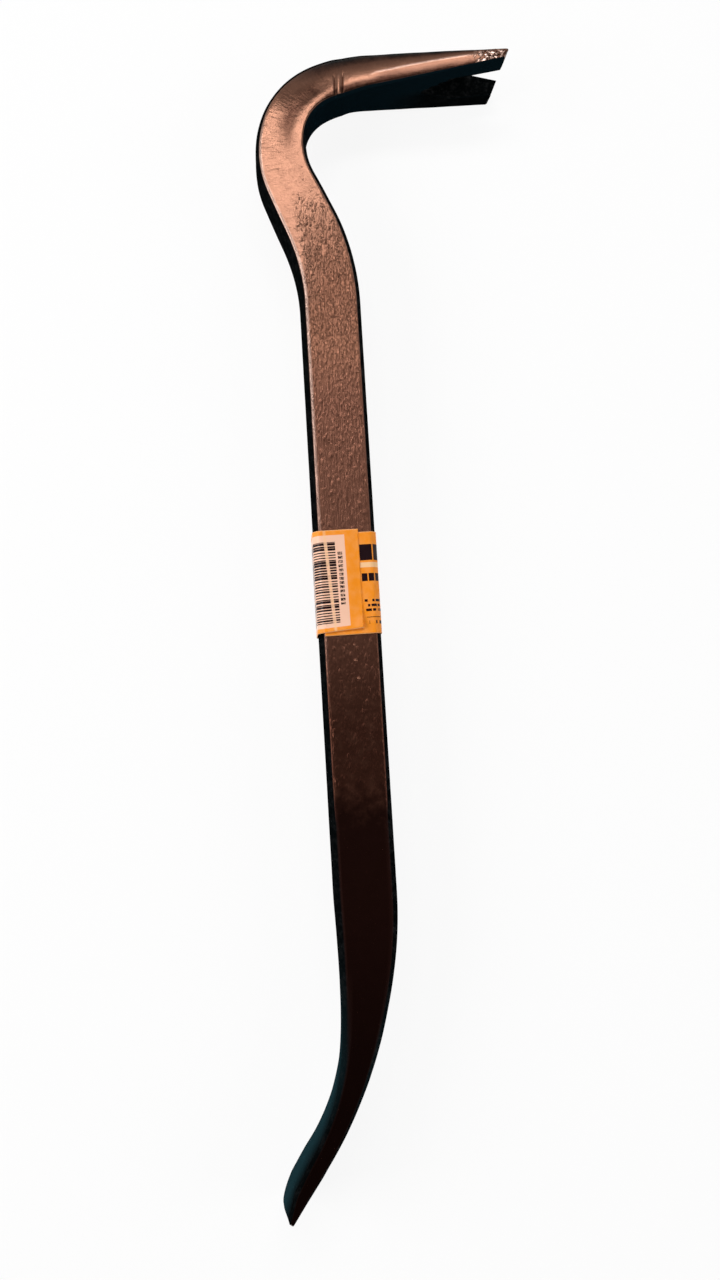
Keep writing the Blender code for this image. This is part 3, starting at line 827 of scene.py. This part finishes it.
def cutterObject(name, rings):
    # a closed body through matching rings, in the claw's axes: X out of the tip, Z out of the hollow
    shape = bmesh.new()
    rows = [[shape.verts.new(point) for point in ring] for ring in rings]
    for row, following in zip(rows, rows[1:]):
        for i in range(len(row)):
            j = (i + 1) % len(row)
            shape.faces.new((row[i], row[j], following[j], following[i]))
    shape.faces.new(list(reversed(rows[0])))
    shape.faces.new(rows[-1])
    bmesh.ops.recalc_face_normals(shape, faces=shape.faces)
    mesh = bpy.data.meshes.new(name)
    shape.to_mesh(mesh)
    shape.free()
    x, y, heading = pathPoint(pathStations()[1])
    out = Vector((math.sin(heading), math.cos(heading), 0.0))
    hollow = Vector((math.cos(heading), -math.sin(heading), 0.0))
    turn = Matrix((out, hollow.cross(out), hollow)).transposed().to_4x4()
    mesh.transform(Matrix.Translation((x, y, barPlan["Middle Height"])) @ turn)
    return addObject(name, mesh)


def makeCutters():
    plan = barPlan["notch"]
    spread = math.atan2(plan["width"] / 2.0, plan["depth"])
    root, steps = plan["rootRadius"], plan["rootSteps"]
    outline = []
    for i in range(steps + 1):
        angle = math.pi / 2.0 + spread + i / steps * (math.pi - 2.0 * spread)
        outline.append((root - plan["depth"] + root * math.cos(angle), root * math.sin(angle)))
    mouth = plan["width"] / 2.0 + plan["margin"] * math.tan(spread)
    outline += [(plan["margin"], -mouth), (plan["margin"], mouth)]
    levels = (-plan["cutterHalf"], plan["cutterHalf"])
    notch = cutterObject("notchCutter", [[(x, y, z) for x, y in outline] for z in levels])
    rings = []
    for back in (-plan["margin"], plan["depth"], plan["depth"] + plan["bevelRunout"]):
        half = clawHalf(back)
        width = plan["width"] / 2.0 * max(0.0, 1.0 - back / plan["depth"])
        crest = width + 2.0 * half - plan["lip"] if back <= plan["depth"] else plan["lip"] / 2.0
        base = half + plan["margin"]
        reach = crest + plan["margin"]
        rings.append([(-back, -reach, base), (-back, reach, base), (-back, 0.0, half - crest)])
    return notch, cutterObject("bevelCutter", rings)


def makeBar(material):
    stations = pathStations()[0]
    bar = lineObject("forgedBar", [(*pathPoint(place)[:2], 0.0) for place in stations])
    growFrom(bar, buildForgeTree(material), barPlan)
    plainMesh(bar)
    cutters = makeCutters()
    for cutter in cutters:
        cut = bar.modifiers.new(cutter.name, "BOOLEAN")
        cut.operation = "DIFFERENCE"
        cut.solver = "EXACT"
        cut.object = cutter
    plainMesh(bar)
    for cutter in cutters:
        bpy.data.objects.remove(cutter)
    bar.data.set_sharp_from_angle(angle=math.radians(barPlan["sharpAngle"]))
    return bar


forgedBar = makeBar(makePaint())
print("crowbar: forging made,", len(forgedBar.data.polygons), "faces")


# label

labelPlan = {
    "shankX": -0.019854,
    "low": -0.012176,  # metres, the strip's lower edge where it starts
    "underEdge": 0.0020,
    "flapEdge": 0.0068,
    "gap": 0.0003,
    "paper": 0.0002,
    "pointEvery": 0.0004,
    "orange": (0.93, 0.285, 0.013, 1.0),
    "panel": (0.93, 0.560, 0.400, 1.0),
    "pale": (0.95, 0.580, 0.300, 1.0),
    "ink": (0.011, 0.0022, 0.0040, 1.0),
    "slant": 0.0137,  # the print stands this much off square
    "noises": {  # scale and detail
        "wear": (900.0, 2.0), "digits": (2600.0, 1.0), "mottle": (330.0, 3.0),
        "fibre": (2600.0, 2.0), "swell": (260.0, 2.0),
    },
    "fibre": 0.010,  # mm high, as is the next
    "swell": 0.10,
    "inkSheen": -0.06,  # added to the roughness
    "specular": 0.16,
    "Height": 0.0400,
    "Rise": 0.0015,
    "Corner": 0.0022,
    "Rows": 60,
    "Waves": 0.00010,
    "Wave Scale": 130.0,
    "Curl": 0.0008,
    "Loose": 0.00045,
    "Pressed": 0.00027,
    "Corner Rise": 0.0010,
    "print": {  # mm: left, right, bottom and top of each box
        "panel": (5.05, 33.5, 1.7, 38.0),  # the first four count back from the flap's edge
        "bars": (8.9, 30.8, 3.4, 35.3),
        "digits": (6.3, 8.1, 10.4, 31.6),
        "margin": (31.6, 32.7, 6.0, 30.0),
        "title": (-4.5, 17.0, 28.7, 35.0),  # and these on from the first corner
        "subtitle": (-4.3, 14.2, 20.5, 23.6),
        "band": (-4.6, 16.6, 25.9, 27.9),
        "rule": (-3.6, 14.5, 6.25, 6.5),
        "farBox": (20.5, 37.0, 5.0, 34.0),
        "farRule": 0.3,
        "lines": (  # left, right, middle, height and dash of each line of dashes, and its seed
            (-3.9, 14.0, 12.9, 1.0, 0.45, 5), (-3.9, 14.0, 11.0, 1.0, 0.45, 9),
            (-3.9, 14.0, 9.2, 1.0, 0.45, 14), (-2.6, 12.0, 4.4, 1.3, 0.60, 31),
        ),
        "barPitch": 1.03,
        "barWidths": (0.46, 0.22),  # of the pitch: the thinnest, and what each step adds
        "barSteps": (0.50, 0.90),  # a bar is a step wider where its random number is above each
        "digitPitch": 1.66,
        "digitRun": (0.16, 0.86),  # of the pitch
        "titleBlocks": (5.4, 0.90),  # pitch, and how much of it is inked
        "subtitleBlocks": (2.7, 0.82),
        "marginDashes": (0.5, 11, 0.7),  # pitch, seed and chance
        "dashChance": 0.80,
        "words": (4.0, 40, 0.95),  # dashes in each, seed and chance
        "farLines": {"count": 7, "left": 22.0, "right": 35.5, "ragged": 3.0, "top": 31.0,
                     "pitch": 3.6, "height": 1.1, "dash": 0.5, "seed": 50},
        "crease": 10.85,  # the fold, from the flap's edge
        "creaseLean": 0.050,
        "paleEdge": 0.25,
        "edgeShare": 0.5,
        "glareInkShare": 0.25,  # of the bars' ink is left over the fold, under a painted glare there and by the wear
    },
    "ramps": {  # where a share starts and ends, and its values there if they aren't 0 and 1
        # metres from the flap's edge
        "free": (0.0150, 0.0), "curl": (0.0110, 0.0), "stuck": (0.0045, 0.0008),
        "loose": (0.0160, 0.0130),
        # by share of the strip's height
        "curlUp": (0.14, 0.0), "stuckUp": (0.10, 0.26), "looseUp": (0.09, 0.0),
        # mm from the fold, where a glare is painted
        "inkGlare": (0.45, 0.75), "foldPale": (0.1, 0.9, 1.0, 0.0),
        # by the strength of a noise
        "wear": (0.40, 0.56, 0.15, 1.0), "digitsWear": (0.36, 0.54, 0.35, 1.0),
        "mottle": (0.35, 0.65, 0.0, 0.12), "foldBreaks": (0.3, 0.6, 0.3, 0.75),
        "roughness": (0.3, 0.7, 0.30, 0.40),
    },
}


def labelLine():
    # the strip's inner line round the shank, and the lengths at its first corner and its end
    plan = labelPlan
    across, deep = barPlan["Stock Thickness"] / 2.0, barPlan["Stock Depth"] / 2.0
    chamfer = barPlan["Chamfer"]
    corners = [(-across + plan["underEdge"], deep, 0, 1)]
    for x, z in ((1, 1), (1, -1), (-1, -1), (-1, 1)):
        flat = (x * (across - chamfer), z * deep, 0, z)
        wall = (x * across, z * (deep - chamfer), x, 0)
        slant = (x * math.sqrt(0.5), z * math.sqrt(0.5))
        for px, pz, nx, nz in (flat, wall) if x == z else (wall, flat):
            scale = 1.0 + nx * slant[0] + nz * slant[1]
            corners.append((px, pz, (nx + slant[0]) / scale, (nz + slant[1]) / scale))
    corners.append((across - plan["flapEdge"], deep, 0, 1))
    runs = [math.hypot(b[0] - a[0], b[1] - a[1]) for a, b in zip(corners, corners[1:])]
    turn = sum(runs) - (corners[-1][0] - corners[0][0])
    travelled = 0.0
    line = []
    for (x, z, ox, oz), step in zip(corners, runs + [0.0]):
        out = plan["gap"] + (plan["paper"] + plan["gap"]) * travelled / turn
        line.append((plan["shankX"] + x + ox * out, 0.0, barPlan["Middle Height"] + z + oz * out))
        travelled += step
    lengths = [math.dist(a, b) for a, b in zip(line, line[1:])]
    # each corner of 45 degrees is eased, which saves a little
    saved = plan["Corner"] * (2.0 * math.tan(math.radians(22.5)) - math.radians(45.0))
    return line, lengths[0] - saved / 2.0, sum(lengths) - 8.0 * saved


def makeLabelPaper(firstCorner, total):
    material, tree, shader = startMaterial("labelPaper")
    plan, boxes, ramps = labelPlan, labelPlan["print"], labelPlan["ramps"]
    wordLength, wordSeed, wordChance = boxes["words"]
    place = get(tree, "ShaderNodeTexCoord", output="Object")
    printX, printY = split(get(tree, "ShaderNodeUVMap", uv_map="printMap"))[:2]
    up = printY * 1000.0  # mm from here on
    lean = up * plan["slant"]
    left = total * 1000.0 - printX * 1000.0 - lean  # back from the flap's edge
    run = (printX - firstCorner) * 1000.0 + lean  # on from the first corner

    def inside(value, low, high):
        return value.op("GREATER_THAN", low) * value.op("LESS_THAN", high)

    def box(across, low, high, bottom, top):
        return inside(across, low, high) * inside(up, bottom, top)

    def chanceAt(cell):
        return get(tree, "ShaderNodeTexWhiteNoise", {"W": cell}, "Value", noise_dimensions="1D")

    def cells(value, pitch, seed, chance):
        # on or off at random, cell by cell
        return chanceAt((value / pitch).op("FLOOR") + (seed + 0.5)).op("LESS_THAN", chance)

    def noise(name):
        return noiseAt(place, *plan["noises"][name])

    def lineOfDashes(low, high, middle, tall, pitch, seed):
        dashes = cells(run, pitch, seed, boxes["dashChance"])
        dashes = dashes * cells(run, pitch * wordLength, seed + wordSeed, wordChance)
        return dashes * box(run, low, high, middle - tall / 2.0, middle + tall / 2.0)

    def blocks(name):
        pitch, share = boxes[name + "Blocks"]
        low = boxes[name][0]
        return inside(((run - low) / pitch).op("FRACT"), 0.0, share) * box(run, *boxes[name])

    # made-up bars and a column of dashes, over the fold
    # a painted glare along the fold, beside random wear, washes out the bars' ink there and pales the paper
    crease = (left - (up * boxes["creaseLean"] + boxes["crease"])).op("ABSOLUTE")
    wear = noise("wear").span(*ramps["wear"])
    glareAndWear = crease.span(*ramps["inkGlare"]).op("MAXIMUM", wear * boxes["glareInkShare"])
    bar = up / boxes["barPitch"]
    thinnest, added = boxes["barWidths"]
    width = chanceAt(bar.op("FLOOR") + 7.5)
    wider, widest = (width.op("GREATER_THAN", chance) for chance in boxes["barSteps"])
    stout = wider + widest
    bars = bar.op("FRACT").op("LESS_THAN", thinnest + stout * added)
    digits = inside((up / boxes["digitPitch"]).op("FRACT"), *boxes["digitRun"])
    digits = digits * box(left, *boxes["digits"])
    inks = [
        bars * box(left, *boxes["bars"]) * glareAndWear,
        digits * noise("digits").span(*ramps["digitsWear"]),
        box(left, *boxes["margin"]) * cells(up, *boxes["marginDashes"]),
        # title blocks, a second row and a rule, on from the near side
        blocks("title"),
        blocks("subtitle"),
        box(run, *boxes["rule"]),
    ]
    inks += [lineOfDashes(*line) for line in boxes["lines"]]
    # the far side: a ruled box with lines of dashes in it
    low, high, bottom, top = boxes["farBox"]
    rule = boxes["farRule"]
    inks.append(box(run, low, high, bottom, top)
                - box(run, low + rule, high - rule, bottom + rule, top - rule))
    far = boxes["farLines"]
    for i in range(far["count"]):
        end, middle = far["right"] - far["ragged"] * (i % 3), far["top"] - far["pitch"] * i
        inks.append(lineOfDashes(far["left"], end, middle, far["height"], far["dash"], far["seed"] + 3 * i))
    ink = inks[0]
    for more in inks[1:]:
        ink = ink.op("MAXIMUM", more)

    mottle = noise("mottle")
    paper = blendColour(mottle.span(*ramps["mottle"]), plan["orange"], plan["pale"])
    paper = blendColour(box(left, *boxes["panel"]), paper, plan["panel"])
    # painted glare along the fold, broken by the mottle
    fold = crease.ease(*ramps["foldPale"]) * mottle.span(*ramps["foldBreaks"])
    topEdge = up.op("GREATER_THAN", plan["Height"] * 1000.0 - boxes["paleEdge"])
    edge = up.op("LESS_THAN", boxes["paleEdge"]).op("MAXIMUM", topEdge)
    for share in (box(run, *boxes["band"]), fold, edge * boxes["edgeShare"]):
        paper = blendColour(share, paper, plan["pale"])
    feed(shader.inputs["Base Color"], blendColour(ink, paper, plan["ink"]))
    feed(shader.inputs["Roughness"], ink * plan["inkSheen"] + mottle.span(*ramps["roughness"]))
    shader.inputs["Specular IOR Level"].default_value = plan["specular"]
    addBump(shader, noise("fibre") * plan["fibre"] + noise("swell") * plan["swell"])
    return material


def buildLabelTree(material):
    ramps = labelPlan["ramps"]
    tree, size = startTree("labelWrap", labelPlan)
    line = get(tree, "GeometryNodeMeshToCurve", {"Mesh": size["Geometry"]})
    line = fillet(line, 8, size["Corner"])
    feeds = {"Curve": line, "Length": labelPlan["pointEvery"]}
    line = get(tree, "GeometryNodeResampleCurve", feeds, mode="LENGTH")
    run = get(tree, "GeometryNodeSplineParameter", output="Length")
    factor = get(tree, "GeometryNodeSplineParameter", output="Factor")
    line = capture(line, {
        "run": run,
        "share": factor,
        "ahead": get(tree, "GeometryNodeInputTangent"),
        "middle": get(tree, "GeometryNodeInputPosition"),
        "left": get(tree, "GeometryNodeSplineLength", output="Length") - run,
    })
    ends = {"Start": (0.0, 0.0, 0.0), "End": (1.0, 0.0, 0.0)}
    upright = get(tree, "GeometryNodeCurvePrimitiveLine", ends)
    upright = get(tree, "GeometryNodeResampleCurve", {"Curve": upright, "Count": size["Rows"]})
    upright = capture(upright, {"up": factor})
    strip = get(tree, "GeometryNodeCurveToMesh", {
        "Curve": line["Geometry"], "Profile Curve": upright["Geometry"]})
    left, up = line["left"], upright["up"]

    # the flap's lower edge runs up towards its free corner, which stands off the paper below
    level = up * size["Height"] + line["share"] * size["Rise"]
    free = left.span(*ramps["free"])
    level = level + free * (1.0 - up).op("POWER", 3.0) * size["Corner Rise"]
    spot = vectorCalc("ADD", line["middle"], join(tree, y=level + labelPlan["low"]))
    curl, stuck, loose = (left.ease(*ramps[name]) * up.ease(*ramps[name + "Up"])
                          for name in ("curl", "stuck", "loose"))
    lift = (curl * size["Curl"]).op("MAXIMUM", loose * size["Loose"]) - stuck * size["Pressed"]
    lift = lift + (noiseAt(spot, size["Wave Scale"], 1.0) - 0.5) * size["Waves"]
    outward = vectorCalc("CROSS_PRODUCT", line["ahead"], (0.0, 1.0, 0.0))
    shaped = moved(strip, vectorCalc("ADD", spot, vectorCalc("SCALE", outward, lift)))
    printed = join(tree, line["run"], up * size["Height"])
    endTree(store(shaped, "printMap", printed, "FLOAT2", "CORNER"), material)
    return tree


def makeLabel():
    line, firstCorner, total = labelLine()
    label = lineObject("labelWrap", line)
    growFrom(label, buildLabelTree(makeLabelPaper(firstCorner, total)), labelPlan)
    skin = label.modifiers.new("paper", "SOLIDIFY")
    skin.thickness = labelPlan["paper"]
    skin.offset = 1.0
    plainMesh(label)
    return label


labelWrap = makeLabel()
print("crowbar: label made,", len(labelWrap.data.polygons), "faces")


# floor, backdrop and lamps

studioPlan = {
    "floorColour": (0.90, 0.90, 0.90, 1.0),
    "lift": 0.9,  # how far the floor is raised to white where it is seen
    "floorRings": (0.6, 1.5, 3.0),  # metres, as are the next three
    "floorRadius": 5.0,
    "cove": 0.6,
    "wallHeight": 3.8,
    "sides": 96,
    "coveSteps": 8,
    "skyColour": (0.130, 0.126, 0.124, 1.0),
    "lamps": (  # name, place, aim, width and height in metres, watts
        ("headBox", (-0.10, 0.93, 1.33), (-0.02, 0.18, 0.03), 1.16, 0.30, 11.6),
        ("leftBox", (-1.40, 0.00, 0.85), (0.0, 0.0, 0.0), 1.00, 0.80, 19.0),
        ("rightBox", (1.50, -0.30, 0.90), (0.0, 0.0, 0.0), 1.00, 0.80, 9.0),
    ),
}


def makeStudioPaper():
    material, tree, shader = startMaterial("studioPaper")
    tree.nodes.remove(shader)
    matte = get(tree, "ShaderNodeBsdfDiffuse", {"Color": studioPlan["floorColour"]})
    glow = get(tree, "ShaderNodeEmission", {"Color": (1.0, 1.0, 1.0, 1.0), "Strength": 1.0})
    camera, glossy, through = (
        get(tree, "ShaderNodeLightPath", output=name)
        for name in ("Is Camera Ray", "Is Glossy Ray", "Is Transmission Ray"))
    share = camera.op("MAXIMUM", glossy).op("MAXIMUM", through) * studioPlan["lift"]
    mixed = get(tree, "ShaderNodeMixShader", {0: share, 1: matte, 2: glow})
    feed(tree.nodes["Material Output"].inputs["Surface"], mixed)
    return material


def makeFloor():
    # a round floor that turns up into a wall, one mesh
    cove, radius, sides = studioPlan["cove"], studioPlan["floorRadius"], studioPlan["sides"]
    outline = [(ring, 0.0) for ring in studioPlan["floorRings"]]
    steps = studioPlan["coveSteps"]
    for i in range(steps + 1):
        angle = i / steps * math.pi / 2.0
        outline.append((radius - cove + cove * math.sin(angle), cove - cove * math.cos(angle)))
    outline.append((radius, studioPlan["wallHeight"]))
    shape = bmesh.new()
    turns = [2.0 * math.pi * i / sides for i in range(sides)]
    rings = [[shape.verts.new((far * math.cos(a), far * math.sin(a), level)) for a in turns]
             for far, level in outline]
    centre = shape.verts.new((0.0, 0.0, 0.0))
    for i in range(sides):
        j = (i + 1) % sides
        shape.faces.new((centre, rings[0][i], rings[0][j]))
        for low, high in zip(rings, rings[1:]):
            shape.faces.new((low[i], high[i], high[j], low[j]))
    mesh = bpy.data.meshes.new("studioFloor")
    shape.to_mesh(mesh)
    shape.free()
    mesh.materials.append(makeStudioPaper())
    addObject("studioFloor", mesh)


def makeLights():
    world = bpy.data.worlds.new("studioSky")
    world.use_nodes = True
    world.node_tree.nodes["Background"].inputs["Color"].default_value = studioPlan["skyColour"]
    scene.world = world
    for name, place, aim, width, height, watts in studioPlan["lamps"]:
        data = bpy.data.lights.new(name, "AREA")
        data.shape = "RECTANGLE"
        data.size, data.size_y, data.energy = width, height, watts
        lamp = addObject(name, data)
        lamp.location = place
        lamp.rotation_euler = (Vector(aim) - Vector(place)).to_track_quat("-Z", "Y").to_euler()
        lamp.visible_camera = False


makeFloor()
makeLights()
print("crowbar: studio set")


# what rides on the frame

for piece, node, slot in ((forgedBar, "forged_bar", "lacquered_steel"),
                          (labelWrap, "label_wrap", "label_paper")):
    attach(piece, "root")
    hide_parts(node)
